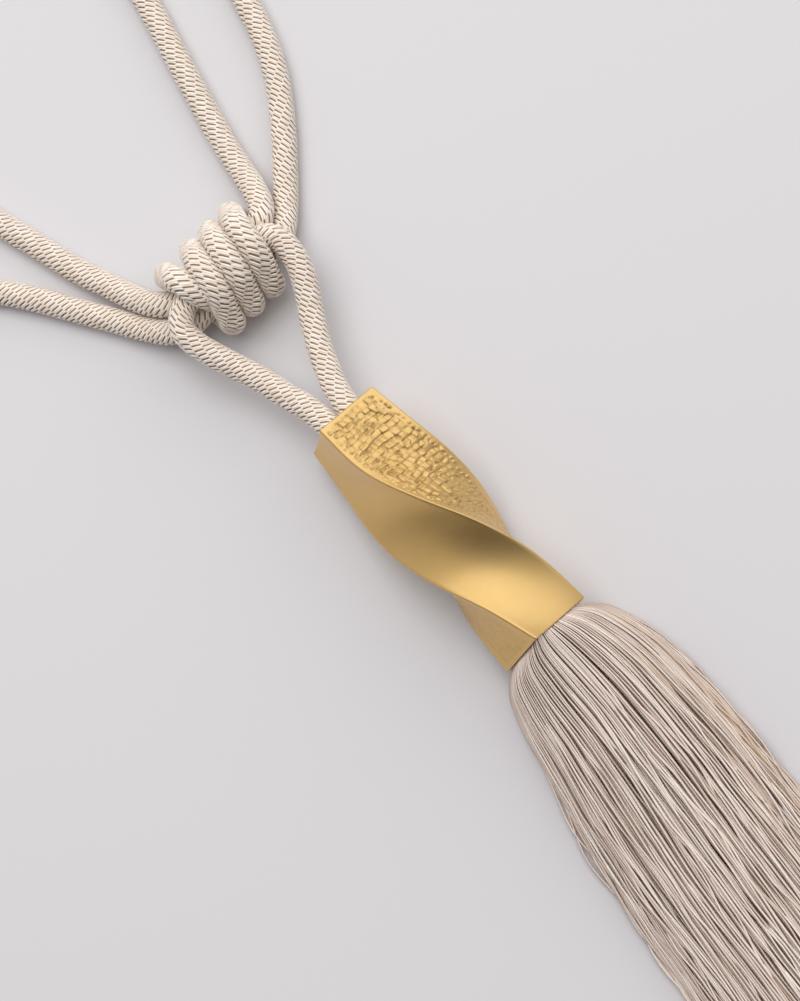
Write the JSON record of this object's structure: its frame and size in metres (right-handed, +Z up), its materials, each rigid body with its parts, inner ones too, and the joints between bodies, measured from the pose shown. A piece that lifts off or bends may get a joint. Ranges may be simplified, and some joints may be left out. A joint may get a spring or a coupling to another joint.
{
  "type": "curtain tieback tassel",
  "caption": "Rope curtain tieback with two loops, a wound knot, a twisted square metal head and a long thread tassel, laid flat.",
  "frame": {"origin": "on the surface that the part lies on, where the lowest edge of the twisted head touches it", "axes": "+Z up from the surface, +Y along the tassel towards its ropes, the skirt towards -Y, +X to the right seen from above"},
  "size_m": [0.1889, 0.4591, 0.0347],
  "materials": {
    "gold": "satin gold, two faces hammered",
    "thread": "lustrous fine viscose thread",
    "rope": "laid cord of pale viscose yarn"
  },
  "bodies": {
    "root": {"head": "gold", "skirt": "thread", "embrace_rope": "rope", "hanger_rope": "rope", "knot_rope": "rope"}
  },
  "joints": []
}
